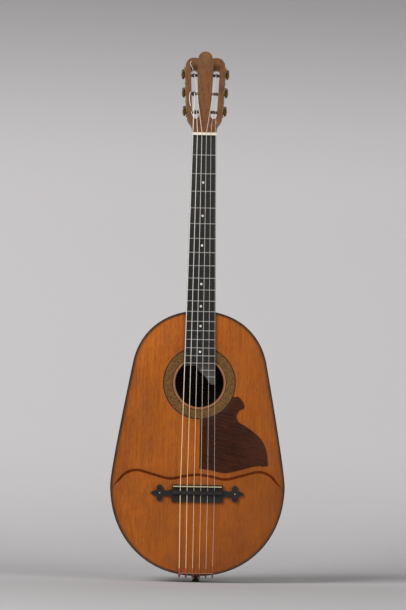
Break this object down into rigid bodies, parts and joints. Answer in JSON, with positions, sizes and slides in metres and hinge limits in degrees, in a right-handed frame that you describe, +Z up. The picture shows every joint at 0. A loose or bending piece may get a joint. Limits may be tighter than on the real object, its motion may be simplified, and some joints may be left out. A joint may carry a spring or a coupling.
{
  "type": "hawaiian guitar",
  "caption": "Pear-shaped flat-backed wooden guitar with a stepped soundboard, raised nut and strings, fretted board and slotted head with geared tuning machines.",
  "frame": {"origin": "centre of the end button's flat face, the guitar's lowest point", "axes": "+Z up the guitar from the end button to the head; -Y out of the soundboard, towards the viewer; +X to the treble side, the viewer's right"},
  "size_m": [0.318, 0.101, 0.9693],
  "materials": {
    "top_wood": "aged orange-brown varnish, satin to gloss",
    "side_wood": "dark reddish-brown varnish",
    "inner_wood": "bare pale wood",
    "binding_wood": "nearly black varnished strip",
    "ring_wood": "lighter varnished ring",
    "rosette_wood": "mottled olive-brown inlay under varnish",
    "guard_wood": "dark brown polished plate",
    "neck_wood": "walnut-brown varnish",
    "ebony": "blackened, rubbed satin",
    "bone": "pale yellowed bone, satin",
    "fret_metal": "dulled nickel-silver bars",
    "plain_string": "plain bright wire",
    "wound_string": "pale bronze-wound wire",
    "machine_brass": "tarnished olive brass",
    "machine_steel": "dark worn steel",
    "roller_steel": "dark steel bars with cut gears"
  },
  "bodies": {
    "guitar": {"soundboard": "top_wood", "soundhole_ring": "ring_wood", "rosette": "rosette_wood", "binding": "binding_wood", "side_left": "side_wood", "side_right": "side_wood", "back": "side_wood", "upper_brace": "inner_wood", "lower_brace": "inner_wood", "bridge_plate": "inner_wood", "neck_block": "inner_wood", "tail_block": "inner_wood", "end_button": "ebony", "tail_saddle": "bone", "pickguard": "guard_wood", "neck": "neck_wood", "fingerboard": "ebony", "nut": "bone", "fret_01": "fret_metal", "fret_02": "fret_metal", "fret_03": "fret_metal", "fret_04": "fret_metal", "fret_05": "fret_metal", "fret_06": "fret_metal", "fret_07": "fret_metal", "fret_08": "fret_metal", "fret_09": "fret_metal", "fret_10": "fret_metal", "fret_11": "fret_metal", "fret_12": "fret_metal", "fret_13": "fret_metal", "fret_14": "fret_metal", "fret_15": "fret_metal", "fret_16": "fret_metal", "fret_17": "fret_metal", "fret_18": "fret_metal", "fret_19": "fret_metal", "fret_20": "fret_metal", "bridge": "ebony", "saddle": "bone", "machine_plate_left": "machine_brass", "machine_plate_right": "machine_brass", "string_1": "plain_string", "string_2": "plain_string", "string_3": "wound_string", "string_4": "wound_string", "string_5": "wound_string", "string_6": "wound_string"},
    "worm_key_left_1": {"worm_key_left_1": "machine_steel"},
    "worm_key_left_2": {"worm_key_left_2": "machine_steel"},
    "worm_key_left_3": {"worm_key_left_3": "machine_steel"},
    "worm_key_right_1": {"worm_key_right_1": "machine_steel"},
    "worm_key_right_2": {"worm_key_right_2": "machine_steel"},
    "worm_key_right_3": {"worm_key_right_3": "machine_steel"},
    "roller_left_1": {"roller_left_1": "roller_steel"},
    "roller_left_2": {"roller_left_2": "roller_steel"},
    "roller_left_3": {"roller_left_3": "roller_steel"},
    "roller_right_1": {"roller_right_1": "roller_steel"},
    "roller_right_2": {"roller_right_2": "roller_steel"},
    "roller_right_3": {"roller_right_3": "roller_steel"}
  },
  "joints": [
    {"name": "worm_key_left_1_turn", "type": "hinge", "parent": "guitar", "child": "worm_key_left_1", "pos_m": [-0.03748, -0.02585, 0.86434], "axis": [0, 0.9659, -0.2588], "continuous": true},
    {"name": "roller_left_1_turn", "type": "hinge", "parent": "guitar", "child": "roller_left_1", "pos_m": [-0.0325, -0.02792, 0.85664], "axis": [0.9989, 0.012, 0.0446], "continuous": true},
    {"name": "worm_key_left_2_turn", "type": "hinge", "parent": "guitar", "child": "worm_key_left_2", "pos_m": [-0.03909, -0.01681, 0.89811], "axis": [0, 0.9659, -0.2588], "continuous": true},
    {"name": "roller_left_2_turn", "type": "hinge", "parent": "guitar", "child": "roller_left_2", "pos_m": [-0.03412, -0.01887, 0.89041], "axis": [0.9989, 0.012, 0.0446], "continuous": true},
    {"name": "worm_key_left_3_turn", "type": "hinge", "parent": "guitar", "child": "worm_key_left_3", "pos_m": [-0.04071, -0.00776, 0.93188], "axis": [0, 0.9659, -0.2588], "continuous": true},
    {"name": "roller_left_3_turn", "type": "hinge", "parent": "guitar", "child": "roller_left_3", "pos_m": [-0.03574, -0.00982, 0.92418], "axis": [0.9989, 0.012, 0.0446], "continuous": true},
    {"name": "worm_key_right_1_turn", "type": "hinge", "parent": "guitar", "child": "worm_key_right_1", "pos_m": [0.03748, -0.02585, 0.86434], "axis": [0, 0.9659, -0.2588], "continuous": true},
    {"name": "roller_right_1_turn", "type": "hinge", "parent": "guitar", "child": "roller_right_1", "pos_m": [0.0325, -0.02792, 0.85664], "axis": [0.9989, -0.012, -0.0446], "continuous": true},
    {"name": "worm_key_right_2_turn", "type": "hinge", "parent": "guitar", "child": "worm_key_right_2", "pos_m": [0.03909, -0.01681, 0.89811], "axis": [0, 0.9659, -0.2588], "continuous": true},
    {"name": "roller_right_2_turn", "type": "hinge", "parent": "guitar", "child": "roller_right_2", "pos_m": [0.03412, -0.01887, 0.89041], "axis": [0.9989, -0.012, -0.0446], "continuous": true},
    {"name": "worm_key_right_3_turn", "type": "hinge", "parent": "guitar", "child": "worm_key_right_3", "pos_m": [0.04071, -0.00776, 0.93188], "axis": [0, 0.9659, -0.2588], "continuous": true},
    {"name": "roller_right_3_turn", "type": "hinge", "parent": "guitar", "child": "roller_right_3", "pos_m": [0.03574, -0.00982, 0.92418], "axis": [0.9989, -0.012, -0.0446], "continuous": true}
  ],
  "couplings": [
    {"joint": "roller_left_1_turn", "follows": "worm_key_left_1_turn", "ratio": 0.071429},
    {"joint": "roller_left_2_turn", "follows": "worm_key_left_2_turn", "ratio": 0.071429},
    {"joint": "roller_left_3_turn", "follows": "worm_key_left_3_turn", "ratio": 0.071429},
    {"joint": "roller_right_1_turn", "follows": "worm_key_right_1_turn", "ratio": 0.071429},
    {"joint": "roller_right_2_turn", "follows": "worm_key_right_2_turn", "ratio": 0.071429},
    {"joint": "roller_right_3_turn", "follows": "worm_key_right_3_turn", "ratio": 0.071429}
  ]
}
